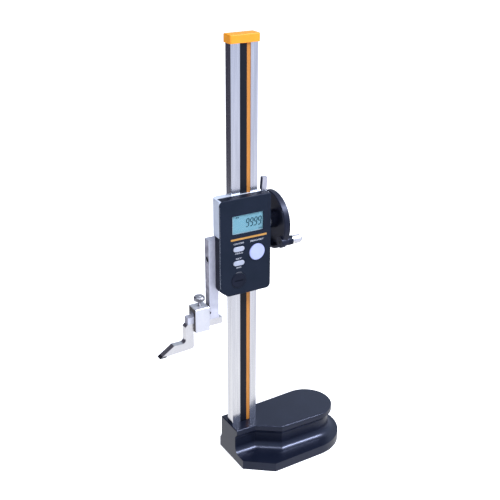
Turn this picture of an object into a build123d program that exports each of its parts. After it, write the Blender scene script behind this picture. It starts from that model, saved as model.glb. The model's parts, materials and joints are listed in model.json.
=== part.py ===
"""Digital height gauge: a steel column on a cast base, with a rack-driven electronic slider and scriber.

Millimetres. +Z is up, +X runs along the base towards its rounded end, and the display faces -Y.
The origin is on the surface plate, under the centre of the column.
"""
from math import acos, asin, atan2, cos, hypot, pi, radians, sin, sqrt, tan
import os

from build123d import *

os.makedirs("parts", exist_ok=True)

# ---------------------------------------------------------------- driving dimensions
# Clearances
RUN = 0.05                # running clearance of a shaft or a slide, each side
SEAT = 0.02               # clearance of a pin or plug in its own hole
GAP = 0.3                 # gap between faces that pass or meet without a fit

# Column
column_width = 30.5       # X
column_depth = 11.5       # Y
column_edge = 0.5
column_socket = 6.0       # depth of the column's foot in the base
scale_left = -5.3         # left edge of the scale groove, from the column's centre
scale_width = 7.9
stripe_width = 4.2
scale_groove_depth = 0.8
scale_thickness = 0.6
stripe_thickness = 0.4
cap_clearance = 2.4       # between the cap and the slider at its upper limit
cap_cover = 6.8           # how far the cap covers the steel
cap_roof = 1.6
cap_overhang = 1.5
cap_corner = 1.6
cap_edge = 1.0

# Base casting
base_height = 41.5
end_wall = 2.75           # casting between the column and the flat end face
flange_height = 10.5
flange_middle_y = -7.8    # the flange lies about a line in front of the column's centre
flange_end_half = 26.9
flange_corner_x = 11.5
flange_corner_half = 49.2
flange_round_x = 72.0
flange_round = 46.2
pad_edge = 6.5            # height of the pad's upright rim
pad_front_end = -20.6     # front edge beside the column, where the slider comes down
pad_notch_x = 6.0         # the front edge flares out from here
pad_corner_x = 31.0
pad_front = -38.0
pad_back_end = 15.4       # the back edge runs straight from here to the round end
pad_round_x = 81.6
pad_round_y = -7.8
pad_round = 29.8
pad_rim_round = 0.9
neck_inset = 4.0          # the neck stands back under the pad, in front and at the round end
cove_upper = 6.6
cove_lower = 8.5
relief_depth = 2.0        # ground relief in the underside
column_screw_spacing = 19.0

# Rack and pinion
module = 1.0
pinion_teeth = 14
pressure_angle = radians(20)
backlash = 0.12
rack_width = 8.0
rack_backing = 1.75
rack_addendum = 0.85
rack_plain_end = 9.0      # plain end that takes the fixing screw
pinion_width = 7.0
shaft_radius = 4.0

# Slider: heights are measured from the scriber's measuring face
travel = 150.0            # slider travel, up and down from rest
lowest_gap = 0.1          # measuring face above the plate at the lower limit
left_wall = 16.75         # slider body to the left of the column
right_wall = 8.95         # slider body to the right of the column
web_thickness = 2.5       # slider body in front of the column
panel_overhang = 3.8      # the panel stands out past the left flank
panel_height = 106.2
panel_thickness = 1.0
housing_depth = 10.0      # the housing's front face to its back face
panel_above_face = 58.5   # panel's bottom edge above the measuring face
panel_corner = 5.0
panel_corner_small = 1.8  # upper right corner
panel_edge = 0.35
panel_cut_x = 9.3         # slanted lower left corner
panel_cut_z = 7.3
housing_wall = 2.0
body_bottom_rise = 8.2    # the metal body ends this far above the panel's bottom edge
shoulder_height = 39.4    # silver shoulder at the upper left
shoulder_wall = 2.9
shoulder_back = 1.0
shoulder_round = 7.5
shoulder_edge = 0.8
flank_back = 1.7
cheek_step = 4.0          # the cheek behind the column stands in from the left flank
cheek_top_drop = 8.5      # the cheeks behind the column end this far below the panel's top

# Display and keys, from the panel's lower left corner
lcd_width = 36.2
lcd_height = 20.2
lcd_from_left = 32.9
lcd_from_bottom = 77.9
round_key_radius = 8.9
round_key_from_left = 43.5
round_key_from_bottom = 44.5
oblong_key_length = 12.8
oblong_key_height = 5.2
oblong_key_from_left = 22.0
upper_key_from_bottom = 51.5
lower_key_from_bottom = 35.9
key_travel = 0.8
key_proud = 0.9
battery_cap_radius = 8.4
battery_from_bottom = 16.1
battery_radius = 5.8
battery_thickness = 5.2
board_thickness = 1.6

# Gear case and hand wheel
pinion_above_face = 122.4
case_plate = 3.5
case_half_height = 13.0
case_left = -13.0
case_overhang = 1.8       # the case stands out past the right flank
case_back_wall = 3.0
case_nose_radius = 9.0
case_nose_reach = 13.3    # end of the nose from the right flank
bush_radius = 5.3
bush_length = 8.0
wheel_radius = 31.9
wheel_rim = 4.0
wheel_reach = 16.1        # the wheel's left face from the right flank
wheel_width = 7.6
wheel_web = 2.5
wheel_hub_radius = 9.0
crank_radius = 29.9       # distance of the crank from the wheel's axis
crank_angle = radians(216.7)
crank_body_radius = 5.0
crank_sleeve_length = 5.4
crank_ring_width = 2.3
crank_boss_radius = 6.2
crank_boss_width = 4.6
crank_knob_length = 9.6
crank_knob_radius = 4.7
crank_pin_radius = 2.0

# Clamp lever and gib
gib_thickness = 2.1
gib_length = 70.0
gib_height = 8.0
lever_from_column = 5.55
lever_below_top = 11.8    # lever pivot below the panel's top edge
lever_behind_housing = 2.4
lever_thickness = 2.6
lever_shank = 4.0
lever_tilt = 4.5
lever_cam_radius = 3.4
lever_cam_throw = 0.3
lever_pin_radius = 1.25
grip_width = 5.6
grip_depth = 4.8
grip_height = 13.6
fork_depth = 4.8
fork_overhang = 3.3       # the fork stands out past the right flank
fork_below = 8.0          # the fork reaches this far below the pivot
fork_drop = 2.6           # the fork ends below the top edge, clear of the leaning grip

# Jaw arm, scriber and clamp
arm_width = 11.0
arm_setback = 0.3         # the arm's front face behind the housing's back face
arm_depth = 9.7
arm_top_above_face = 121.2
bar_above_face = 31.7     # underside of the bar above the measuring face
bar_height = 7.6
bar_depth = 7.9
bar_reach = 36.7          # from the flank to the bar's free end
arm_screw_below_top = 22.3
scriber_height = 7.5
scriber_depth = 7.5
scriber_rear_reach = 3.8  # the shank's rear end, to the right of the left flank
scriber_drop_reach = 39.6  # these lie to the left of the left flank
scriber_bevel_reach = 53.1
scriber_tip_reach = 69.6
clamp_reach = 29.5
scriber_drop_width = 9.6
scriber_chamfer = 2.5
blade_top_above_face = 11.1
carbide_length = 7.6
carbide_height = 2.2
clamp_width = 16.7
clamp_wall = 4.0
clamp_sole = 2.5
clamp_room = 4.4          # between the bar and the clamp's roof
clamp_top_wall = 5.0
thumb_from_left = 8.5
thumb_thread = 2.0
thumb_neck = 1.6
thumb_head_radius = 5.9
thumb_head_height = 5.2
thumb_neck_length = 6.2
thumb_head_edge = 1.2

# ---------------------------------------------------------------- derived places
half_width = column_width / 2
half_depth = column_depth / 2
base_end = -half_width - end_wall
measuring_height = travel + lowest_gap
flank_x = -half_width - left_wall
right_flank_x = half_width + right_wall
web_back = -half_depth - RUN
housing_back = web_back - web_thickness
panel_left = flank_x - panel_overhang
panel_right = right_flank_x
panel_front = housing_back - housing_depth
panel_back = panel_front + panel_thickness
panel_bottom = measuring_height + panel_above_face
panel_top = panel_bottom + panel_height
cap_bottom = panel_top + travel + cap_clearance
cap_height = cap_cover + cap_roof
column_top = cap_bottom + cap_cover
cheek_back_x = flank_x + cheek_step
case_right = right_flank_x + case_overhang
case_nose_end = right_flank_x + case_nose_reach
wheel_left = right_flank_x + wheel_reach
wheel_right = wheel_left + wheel_width
crank_sleeve_end = wheel_right + crank_sleeve_length
lever_x = half_width + lever_from_column
lever_y = housing_back + lever_behind_housing
fork_back = housing_back + fork_depth
fork_right = right_flank_x + fork_overhang
arm_front = housing_back + arm_setback
scriber_rear = flank_x + scriber_rear_reach
scriber_drop_left = flank_x - scriber_drop_reach
scriber_bevel_x = flank_x - scriber_bevel_reach
scriber_tip_x = flank_x - scriber_tip_reach
clamp_left = flank_x - clamp_reach
thumb_x = clamp_left + thumb_from_left
body_bottom = panel_bottom + body_bottom_rise
cheek_top = panel_top - cheek_top_drop
shoulder_bottom = panel_top - shoulder_height
bar_bottom = measuring_height + bar_above_face
arm_top = measuring_height + arm_top_above_face
arm_left = flank_x - arm_width
pinion_z = measuring_height + pinion_above_face
pitch = pi * module
pitch_radius = module * pinion_teeth / 2
rack_floor = half_depth - rack_backing - 2.25 * module
rack_pitch_y = half_depth - module
shaft_y = rack_pitch_y + pitch_radius
case_front = half_depth + 2 * RUN
CENTER_MIN = (Align.CENTER, Align.CENTER, Align.MIN)


def slab(x, y, z, mode=Mode.ADD):
    """A block between two limits on each axis."""
    with Locations(((x[0] + x[1]) / 2, (y[0] + y[1]) / 2, (z[0] + z[1]) / 2)):
        Box(x[1] - x[0], y[1] - y[0], z[1] - z[0], mode=mode)


def rod(start, direction, radius, length, mode=Mode.ADD):
    """A cylinder that starts at a point and runs along a direction."""
    with Locations(Plane(origin=start, z_dir=direction)):
        Cylinder(radius, length, align=CENTER_MIN, mode=mode)


def bore(start, direction, radius, length):
    """A round hole that starts at a point and runs along a direction."""
    rod(start, direction, radius, length, Mode.SUBTRACT)


def finish(part, label):
    """Name a finished piece and write it."""
    part.label = label
    export_step(part, f"parts/{label}.step")


# ---------------------------------------------------------------- base casting
column_screws_x = (-column_screw_spacing / 2, column_screw_spacing / 2)
column_screw_radius = 2.5
column_screw_head = 4.25
column_screw_recess = 20.0
column_screw_bite = 12.0
column_screw_tip = 3.0    # free depth past the screw's end
column_screw_head_height = 5.0
column_screw_hex = 2.3
pad_underside = base_height - pad_edge + 0.6
waist = (flange_height + cove_lower + pad_underside - cove_upper) / 2
blank = 2 * (flange_round_x + 2 * flange_round)
relief_start = 32.0
relief_margin = 12.0
relief_width = 56.0
relief_round = 20.0


def touch(corner, middle, radius, side):
    """Where a line from a corner touches a circle: side 1 in front of the line, -1 behind it."""
    reach = hypot(middle[0] - corner[0], middle[1] - corner[1])
    angle = atan2(middle[1] - corner[1], middle[0] - corner[0]) - side * asin(radius / reach)
    run = sqrt(reach**2 - radius**2)
    return (corner[0] + run * cos(angle), corner[1] + run * sin(angle))


def tongue(front, back, middle, radius):
    """A slab's outline: a front edge of several corners, a round end and a straight back edge."""
    start = touch(front[-1], middle, radius, 1)
    end = touch(back[0], middle, radius, -1)
    Polyline(end, *back, *front, start)
    ThreePointArc(start, (middle[0] + radius, middle[1]), end)


flange_front = (
    (base_end, flange_middle_y - flange_end_half),
    (flange_corner_x, flange_middle_y - flange_corner_half),
)
flange_back = (
    (flange_corner_x, flange_middle_y + flange_corner_half),
    (base_end, flange_middle_y + flange_end_half),
)
pad_outline_front = (
    (base_end, pad_front_end),
    (pad_notch_x, pad_front_end),
    (pad_corner_x, pad_front),
)
pad_outline_back = ((base_end, pad_back_end),)
neck_end = base_end - cove_lower
neck_front = (
    (neck_end, pad_front_end + neck_inset),
    (pad_notch_x + neck_inset / 2, pad_front_end + neck_inset),
    (pad_corner_x + neck_inset / 2, pad_front + neck_inset),
)
neck_back = ((neck_end, pad_back_end),)

with BuildPart() as base_casting:
    with BuildSketch(Plane.XY):
        with BuildLine():
            tongue(neck_front, neck_back, (pad_round_x, pad_round_y), pad_round - neck_inset)
        make_face()
    extrude(amount=base_height)
    with Locations((base_end, 0, 0)):
        Box(blank, blank, flange_height, align=CENTER_MIN)
    with Locations((base_end, 0, pad_underside)):
        Box(blank, blank, base_height - pad_underside, align=CENTER_MIN)
    for height, cove in ((flange_height, cove_lower), (pad_underside, cove_upper)):
        corner_edges = edges().filter_by_position(Axis.Z, height, height)
        fillet(corner_edges.filter_by(lambda edge: edge.length < blank / 2), cove)
    split(bisect_by=Plane.YZ.offset(base_end), keep=Keep.TOP)
    with BuildSketch(Plane.XY):
        with BuildLine():
            tongue(flange_front, flange_back, (flange_round_x, flange_middle_y), flange_round)
        make_face()
    extrude(amount=base_height, mode=Mode.INTERSECT)
    with BuildSketch(Plane.XY.offset(waist)):
        Rectangle(2 * blank, 2 * blank)
        with BuildLine():
            tongue(pad_outline_front, pad_outline_back, (pad_round_x, pad_round_y), pad_round)
        make_face(mode=Mode.SUBTRACT)
    extrude(amount=base_height - waist, mode=Mode.SUBTRACT)
    fillet(faces().sort_by(Axis.Z)[-1].edges(), pad_rim_round)
    slab(
        (-half_width - SEAT, half_width + SEAT),
        (-half_depth - SEAT, half_depth + SEAT),
        (base_height - column_socket, base_height),
        mode=Mode.SUBTRACT,
    )
    for x in column_screws_x:
        bore((x, 0, 0), (0, 0, 1), column_screw_radius + SEAT, base_height)
        bore((x, 0, 0), (0, 0, 1), column_screw_head + GAP, column_screw_recess)
    with BuildSketch(Plane.XY):
        relief_end = flange_round_x + flange_round - relief_margin
        with Locations(((relief_start + relief_end) / 2, flange_middle_y)):
            RectangleRounded(relief_end - relief_start, relief_width, relief_round)
    extrude(amount=relief_depth, mode=Mode.SUBTRACT)
finish(base_casting.part, "base_casting")

# ---------------------------------------------------------------- column and its fittings
column_foot = base_height - column_socket
groove_right = scale_left + scale_width + stripe_width + 2 * SEAT
rack_groove = (-rack_width / 2 - SEAT, rack_width / 2 + SEAT)

with BuildPart() as column:
    slab((-half_width, half_width), (-half_depth, half_depth), (column_foot, column_top))
    chamfer(edges().filter_by(Axis.Z), column_edge)
    slab(
        (scale_left, groove_right),
        (-half_depth, -half_depth + scale_groove_depth),
        (column_foot, column_top),
        mode=Mode.SUBTRACT,
    )
    slab(rack_groove, (rack_floor, half_depth), (column_foot, column_top), mode=Mode.SUBTRACT)
    for x in column_screws_x:
        bore((x, 0, column_foot), (0, 0, 1), column_screw_radius + SEAT, column_screw_bite)
finish(column.part, "column")

groove_floor = -half_depth + scale_groove_depth
strip_span = (base_height + GAP, column_top - GAP)
scale_right = scale_left + SEAT + scale_width
stripe_right = scale_right + stripe_width
with BuildPart() as scale_strip:
    slab((scale_left + SEAT, scale_right), (groove_floor - scale_thickness, groove_floor), strip_span)
finish(scale_strip.part, "scale_strip")

with BuildPart() as accent_stripe:
    slab((scale_right, stripe_right), (groove_floor - stripe_thickness, groove_floor), strip_span)
finish(accent_stripe.part, "accent_stripe")

with BuildPart() as column_cap:
    with BuildSketch(Plane.XY.offset(cap_bottom)):
        RectangleRounded(column_width + 2 * cap_overhang, column_depth + 2 * cap_overhang, cap_corner)
    extrude(amount=cap_height)
    fillet(faces().sort_by(Axis.Z)[-1].edges(), cap_edge)
    slab(
        (-half_width - SEAT, half_width + SEAT),
        (-half_depth - SEAT, half_depth + SEAT),
        (cap_bottom, column_top),
        mode=Mode.SUBTRACT,
    )
finish(column_cap.part, "column_cap")

column_screw_length = column_foot + column_screw_bite - column_screw_tip - column_screw_recess
with BuildPart() as column_screws:
    for x in column_screws_x:
        rod((x, 0, column_screw_recess), (0, 0, 1), column_screw_radius, column_screw_length)
        rod((x, 0, column_screw_recess), (0, 0, -1), column_screw_head, column_screw_head_height)
    with BuildSketch(Plane.XY.offset(column_screw_recess - column_screw_head_height)):
        with Locations(*[(x, 0) for x in column_screws_x]):
            RegularPolygon(column_screw_hex, 6)
    extrude(amount=column_screw_head_height / 2, mode=Mode.SUBTRACT)
finish(column_screws.part, "column_screws")

# ---------------------------------------------------------------- rack
rack_bottom = pinion_z - travel - 4 * pitch - rack_plain_end
rack_top = pinion_z + travel + 4 * pitch + rack_plain_end
rack_screw_radius = 1.6
rack_screw_heights = (rack_bottom + 2 * rack_screw_radius, rack_top - 2 * rack_screw_radius)
rack_tip_y = rack_pitch_y + rack_addendum
rack_root_y = rack_floor + rack_backing
tooth_half = (pitch / 2 - backlash) / 2
tip_half = tooth_half - rack_addendum * tan(pressure_angle)
root_half = tooth_half + (rack_pitch_y - rack_root_y) * tan(pressure_angle)
teeth_below = int((pinion_z - rack_bottom - rack_plain_end) / pitch)
teeth_above = int((rack_top - rack_plain_end - pinion_z) / pitch)

with BuildPart() as rack:
    with BuildSketch(Plane.YZ.offset(-rack_width / 2)):
        with BuildLine():
            outline = [(rack_floor, rack_top), (rack_floor, rack_bottom)]
            outline += [(rack_tip_y, rack_bottom), (rack_tip_y, rack_bottom + rack_plain_end - pitch)]
            outline += [(rack_root_y, rack_bottom + rack_plain_end - pitch)]
            for k in range(-teeth_below, teeth_above):
                z = pinion_z + (k + 0.5) * pitch
                outline += [
                    (rack_root_y, z - root_half),
                    (rack_tip_y, z - tip_half),
                    (rack_tip_y, z + tip_half),
                    (rack_root_y, z + root_half),
                ]
            outline += [(rack_root_y, rack_top - rack_plain_end + pitch)]
            outline += [(rack_tip_y, rack_top - rack_plain_end + pitch), (rack_tip_y, rack_top)]
            Polyline(*outline, close=True)
        make_face()
    extrude(amount=rack_width)
    for z in rack_screw_heights:
        bore((0, rack_tip_y, z), (0, -1, 0), rack_screw_radius + SEAT, rack_tip_y - rack_floor)
finish(rack.part, "rack")

with BuildPart() as rack_screws:
    for z in rack_screw_heights:
        rod((0, rack_floor, z), (0, 1, 0), rack_screw_radius, rack_tip_y - rack_floor)
finish(rack_screws.part, "rack_screws")

# ---------------------------------------------------------------- slider body
web_front = housing_back
cheek_back = half_depth + 2 * RUN
left_inner = -half_width - RUN
right_inner = half_width + RUN
gib_pocket = right_inner + gib_thickness + SEAT
gib_z = (body_bottom + cheek_top) / 2 - 4.0
gib_ends = (gib_z - gib_length / 2, gib_z + gib_length / 2)
lever_z = panel_top - lever_below_top
lever_slot_left = lever_x - lever_cam_radius - lever_cam_throw
lever_slot = (lever_y - lever_thickness / 2 - 2 * RUN, lever_y + lever_thickness / 2 + 2 * RUN)
shoe_height = 9.0
shoe_back = 2.5
shoe_travel = 0.13
shoe_gap = shoe_travel + 2 * RUN
shoe_rear = lever_x - lever_cam_radius - SEAT
encoder_x = (scale_left - 2.0, scale_left + scale_width + 2.0)
encoder_z = (panel_bottom + 20.0, panel_bottom + 52.0)
case_screw_radius = 2.0
case_screw_places = (
    (left_inner - 6.2, body_bottom + 11.0),
    (left_inner - 6.2, cheek_top - 10.0),
    (right_inner + 5.7, body_bottom + 11.0),
    (right_inner + 5.7, cheek_top - 10.0),
)
case_screw_bite = 8.0
case_screw_length = case_plate + case_screw_bite - 1.0
case_screw_head = 3.5
case_screw_head_height = 2.4
gib_screw_radius = 1.5
gib_screw_length = right_flank_x - right_inner - gib_thickness - GAP
gib_screw_heights = (gib_z - gib_length / 3, gib_z + gib_length / 3)
housing_screw_radius = 1.5
housing_screw_head = 2.6
housing_screw_head_height = 1.8
housing_screw_places = (
    (flank_x + 4.0, panel_bottom + 13.4),
    (flank_x + 4.0, panel_top - 30.0),
    (right_flank_x - 4.8, panel_bottom + 13.4),
    (right_flank_x - 4.8, panel_top - 26.0),
)
housing_screw_bite = 2.0
arm_screw_z = arm_top - arm_screw_below_top
arm_middle_y = arm_front + arm_depth / 2
arm_screw_radius = 2.0
arm_screw_head = 3.1
arm_screw_sink = 5.0
arm_screw_length = 11.0
arm_screw_bite = arm_screw_length - (arm_width - arm_screw_sink) + 1.0
dowel_radius = 1.5
dowel_length = 10.0
dowel_heights = (arm_top - 8.0, arm_top - 38.0)

with BuildPart() as slider_body:
    slab((flank_x, right_flank_x), (web_front, web_back), (body_bottom, panel_top))
    slab((flank_x, left_inner), (web_front, flank_back), (body_bottom, shoulder_bottom))
    slab((cheek_back_x, left_inner), (web_front, cheek_back), (body_bottom, cheek_top))
    with BuildSketch(Plane.XY.offset(shoulder_bottom)):
        with BuildLine():
            Polyline(
                (panel_left + shoulder_wall, web_front),
                (panel_left + shoulder_wall, panel_back),
                (panel_left, panel_back),
                (panel_left, shoulder_back - shoulder_round),
            )
            RadiusArc(
                (panel_left, shoulder_back - shoulder_round),
                (panel_left + shoulder_round, shoulder_back),
                shoulder_round,
            )
            Polyline(
                (panel_left + shoulder_round, shoulder_back),
                (left_inner, shoulder_back),
                (left_inner, web_front),
                (panel_left + shoulder_wall, web_front),
            )
        make_face()
    extrude(amount=shoulder_height)
    shoulder_rim = edges().group_by(Axis.Z)[-1].filter_by(
        lambda edge: edge.center().X < flank_x and edge.center().Y > panel_back
    )
    fillet(shoulder_rim, shoulder_edge)
    slab((right_inner, right_flank_x), (web_front, cheek_back), (body_bottom, cheek_top))
    slab((right_inner, fork_right), (web_front, fork_back), (lever_z - fork_below, panel_top - fork_drop))
    slab((right_inner, gib_pocket), (-gib_height / 2, gib_height / 2), gib_ends, mode=Mode.SUBTRACT)
    slab(
        (lever_slot_left, fork_right),
        lever_slot,
        (lever_z - lever_cam_radius - 1.0, panel_top),
        mode=Mode.SUBTRACT,
    )
    slab(
        (right_inner, shoe_rear + RUN),
        (lever_slot[0], shoe_back),
        (lever_z - shoe_height / 2 - RUN, lever_z + shoe_height / 2 + RUN),
        mode=Mode.SUBTRACT,
    )
    bore((lever_x, web_front, lever_z), (0, 1, 0), lever_pin_radius + SEAT, fork_back - web_front)
    slab(encoder_x, (web_front, web_back), encoder_z, mode=Mode.SUBTRACT)
    for x, z in case_screw_places:
        bore((x, cheek_back, z), (0, -1, 0), case_screw_radius + SEAT, case_screw_bite)
    for z in gib_screw_heights:
        bore((right_flank_x, 0, z), (-1, 0, 0), gib_screw_radius + SEAT, right_flank_x - right_inner)
    for x, z in housing_screw_places:
        bore((x, web_front, z), (0, 1, 0), housing_screw_radius + SEAT, housing_screw_bite)
    bore((flank_x, arm_middle_y, arm_screw_z), (1, 0, 0), arm_screw_radius + SEAT, arm_screw_bite)
    for z in dowel_heights:
        bore((flank_x, arm_middle_y, z), (1, 0, 0), dowel_radius + SEAT, dowel_length / 2)
finish(slider_body.part, "slider_body")

with BuildPart() as gib:
    slab(
        (right_inner, right_inner + gib_thickness),
        (-gib_height / 2 + RUN, gib_height / 2 - RUN),
        (gib_ends[0] + RUN, gib_ends[1] - RUN),
    )
finish(gib.part, "gib")

with BuildPart() as gib_screws:
    for z in gib_screw_heights:
        rod((right_inner + gib_thickness, 0, z), (1, 0, 0), gib_screw_radius, gib_screw_length)
finish(gib_screws.part, "gib_screws")

with BuildPart() as encoder_head:
    slab(
        (encoder_x[0] + SEAT, encoder_x[1] - SEAT),
        (web_front, web_back - GAP),
        (encoder_z[0] + SEAT, encoder_z[1] - SEAT),
    )
finish(encoder_head.part, "encoder_head")

# ---------------------------------------------------------------- gear case behind the column
pinion_tip = pitch_radius + module
case_top = pinion_z + case_half_height
case_bottom = pinion_z - case_half_height
case_back = shaft_y + pinion_tip + GAP + case_back_wall
case_round = 4.0
shaft_stub = 2.6          # the shaft's free end past the case
shaft_left = case_left - shaft_stub
ring_width = 0.8
ring_gap = 3.2

with BuildPart() as gear_case:
    slab((cheek_back_x, right_flank_x), (cheek_back, cheek_back + case_plate), (body_bottom, cheek_top))
    slab((case_left, case_right), (cheek_back, case_back), (case_bottom, case_top))
    fillet(edges().filter_by(Axis.X).group_by(Axis.Y)[-1], case_round)
    rod((case_right, shaft_y, pinion_z), (1, 0, 0), case_nose_radius, case_nose_end - case_right)
    bore((case_left, shaft_y, pinion_z), (1, 0, 0), bush_radius + SEAT, case_nose_end - case_left)
    bore((case_left, shaft_y, pinion_z), (-1, 0, 0), bush_radius + GAP, shaft_stub + GAP)
    slab(
        (-pinion_width / 2 - GAP, pinion_width / 2 + GAP),
        (cheek_back, shaft_y + pinion_tip + GAP),
        (pinion_z - pinion_tip - GAP, pinion_z + pinion_tip + GAP),
        mode=Mode.SUBTRACT,
    )
    for x, z in case_screw_places:
        bore((x, cheek_back, z), (0, 1, 0), case_screw_radius + SEAT, case_plate)
finish(gear_case.part, "gear_case")

with BuildPart() as case_screws:
    for x, z in case_screw_places:
        rod((x, cheek_back + case_plate, z), (0, -1, 0), case_screw_radius, case_screw_length)
        rod((x, cheek_back + case_plate, z), (0, 1, 0), case_screw_head, case_screw_head_height)
    with BuildSketch(Plane.XZ.offset(-cheek_back - case_plate - case_screw_head_height)):
        with Locations(*case_screw_places):
            RegularPolygon(case_screw_head / 2, 6)
    extrude(amount=case_screw_head_height / 2, mode=Mode.SUBTRACT)
finish(case_screws.part, "case_screws")

with BuildPart() as shaft_bushes:
    for start in (case_left, case_nose_end - bush_length):
        rod((start, shaft_y, pinion_z), (1, 0, 0), bush_radius, bush_length)
        bore((start, shaft_y, pinion_z), (1, 0, 0), shaft_radius + RUN, bush_length)
finish(shaft_bushes.part, "shaft_bushes")

shaft_end = wheel_right - 1.0
wheel_screw_radius = 1.7
wheel_screw_head = 6.0
wheel_screw_head_height = 2.2
wheel_screw_length = 9.0
with BuildPart() as wheel_shaft:
    rod((shaft_left, shaft_y, pinion_z), (1, 0, 0), shaft_radius, shaft_end - shaft_left)
    bore((shaft_end, shaft_y, pinion_z), (-1, 0, 0), wheel_screw_radius, wheel_screw_length)
finish(wheel_shaft.part, "wheel_shaft")

with BuildPart() as retaining_ring:
    rod((case_left - GAP, shaft_y, pinion_z), (-1, 0, 0), bush_radius, ring_width)
    bore((case_left - GAP, shaft_y, pinion_z), (-1, 0, 0), shaft_radius + SEAT, ring_width)
    slab(
        (case_left - GAP - ring_width, case_left),
        (shaft_y, shaft_y + bush_radius),
        (pinion_z - ring_gap / 2, pinion_z + ring_gap / 2),
        mode=Mode.SUBTRACT,
    )
finish(retaining_ring.part, "retaining_ring")

# ---------------------------------------------------------------- pinion
base_radius = pitch_radius * cos(pressure_angle)
root_radius = pitch_radius - 1.15 * module


def involute_half_angle(radius):
    """Half the angle that a pinion tooth spans at a radius."""
    at_pitch = tooth_half / pitch_radius
    roll = sqrt((radius / base_radius) ** 2 - 1)
    return at_pitch + tan(pressure_angle) - pressure_angle - (roll - acos(base_radius / radius))


def polar(radius, angle):
    """A point at a radius and angle about the pinion's axis."""
    return (shaft_y + radius * cos(angle), pinion_z + radius * sin(angle))


flank_radii = (base_radius, pitch_radius, (pitch_radius + pinion_tip) / 2, pinion_tip)
with BuildPart() as pinion:
    with BuildSketch(Plane.YZ.offset(-pinion_width / 2)):
        with BuildLine():
            outline = []
            for k in range(pinion_teeth):
                middle = pi + 2 * pi * k / pinion_teeth
                root_angle = involute_half_angle(base_radius)
                outline.append(polar(root_radius, middle - root_angle))
                outline += [polar(r, middle - involute_half_angle(r)) for r in flank_radii]
                outline += [polar(r, middle + involute_half_angle(r)) for r in reversed(flank_radii)]
                outline.append(polar(root_radius, middle + root_angle))
            Polyline(*outline, close=True)
        make_face()
    extrude(amount=pinion_width)
    bore((-pinion_width / 2, shaft_y, pinion_z), (1, 0, 0), shaft_radius + SEAT, pinion_width)
finish(pinion.part, "pinion")

# ---------------------------------------------------------------- hand wheel and crank
crank_y = shaft_y + crank_radius * cos(crank_angle)
crank_z = pinion_z + crank_radius * sin(crank_angle)
crank_lug = 1.3           # the boss stands out of the wheel's left face
crank_left = wheel_left - crank_lug
ring_end = crank_sleeve_end + crank_ring_width
knob_start = ring_end + RUN
knob_end = knob_start + crank_knob_length
knob_edge = 0.5
pin_head_radius = 3.1
pin_head_height = 0.8

with BuildPart() as feed_wheel:
    with BuildSketch(Plane.XY.offset(pinion_z)):
        with BuildLine():
            Polyline(
                (case_nose_end + GAP, shaft_y + shaft_radius + SEAT),
                (case_nose_end + GAP, shaft_y + wheel_hub_radius),
                (wheel_right - wheel_web, shaft_y + wheel_hub_radius + 1.0),
                (wheel_right - wheel_web, shaft_y + wheel_radius - wheel_rim),
                (wheel_left, shaft_y + wheel_radius - wheel_rim + 1.0),
                (wheel_left, shaft_y + wheel_radius - 0.8),
                (wheel_left + 0.8, shaft_y + wheel_radius),
                (wheel_right - 1.2, shaft_y + wheel_radius),
                (wheel_right, shaft_y + wheel_radius - 1.2),
                (wheel_right, shaft_y + shaft_radius + SEAT),
                close=True,
            )
        make_face()
    revolve(axis=Axis((0, shaft_y, pinion_z), (1, 0, 0)))
    rod((crank_left, crank_y, crank_z), (1, 0, 0), crank_boss_radius, crank_boss_width)
    rod((crank_left, crank_y, crank_z), (1, 0, 0), crank_body_radius, wheel_right - crank_left)
    bore((crank_left, crank_y, crank_z), (1, 0, 0), crank_pin_radius + SEAT, wheel_width + crank_lug)
finish(feed_wheel.part, "feed_wheel")

with BuildPart() as wheel_screw:
    rod((wheel_right, shaft_y, pinion_z), (1, 0, 0), wheel_screw_head, wheel_screw_head_height)
    chamfer(edges().group_by(Axis.X)[-1], 0.6)
    rod((wheel_right, shaft_y, pinion_z), (-1, 0, 0), wheel_screw_radius - SEAT, wheel_screw_length)
    with BuildSketch(Plane((wheel_right + wheel_screw_head_height, shaft_y, pinion_z), z_dir=(1, 0, 0))):
        RegularPolygon(wheel_screw_head / 3, 6)
    extrude(amount=-wheel_screw_head_height * 0.7, mode=Mode.SUBTRACT)
finish(wheel_screw.part, "wheel_screw")

with BuildPart() as crank_sleeve:
    rod((wheel_right, crank_y, crank_z), (1, 0, 0), crank_body_radius, crank_sleeve_length)
    bore((wheel_right, crank_y, crank_z), (1, 0, 0), crank_pin_radius + SEAT, crank_sleeve_length)
finish(crank_sleeve.part, "crank_sleeve")

with BuildPart() as crank_ring:
    rod((crank_sleeve_end, crank_y, crank_z), (1, 0, 0), crank_body_radius, crank_ring_width)
    chamfer(edges().filter_by(GeomType.CIRCLE), 0.4)
    bore((crank_sleeve_end, crank_y, crank_z), (1, 0, 0), crank_pin_radius + SEAT, crank_ring_width)
finish(crank_ring.part, "crank_ring")

with BuildPart() as crank_pin:
    rod((crank_left, crank_y, crank_z), (1, 0, 0), crank_pin_radius, knob_end - pin_head_height - crank_left)
    rod((knob_end - pin_head_height, crank_y, crank_z), (1, 0, 0), pin_head_radius, pin_head_height)
finish(crank_pin.part, "crank_pin")

with BuildPart() as crank_knob:
    rod((knob_start, crank_y, crank_z), (1, 0, 0), crank_knob_radius, crank_knob_length)
    chamfer(edges().group_by(Axis.X)[0], knob_edge)
    fillet(edges().group_by(Axis.X)[-1], 2 * knob_edge)
    bore((knob_start, crank_y, crank_z), (1, 0, 0), crank_pin_radius + RUN, crank_knob_length)
    bore((knob_end, crank_y, crank_z), (-1, 0, 0), pin_head_radius + 2 * RUN, pin_head_height + RUN)
finish(crank_knob.part, "crank_knob")

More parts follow.
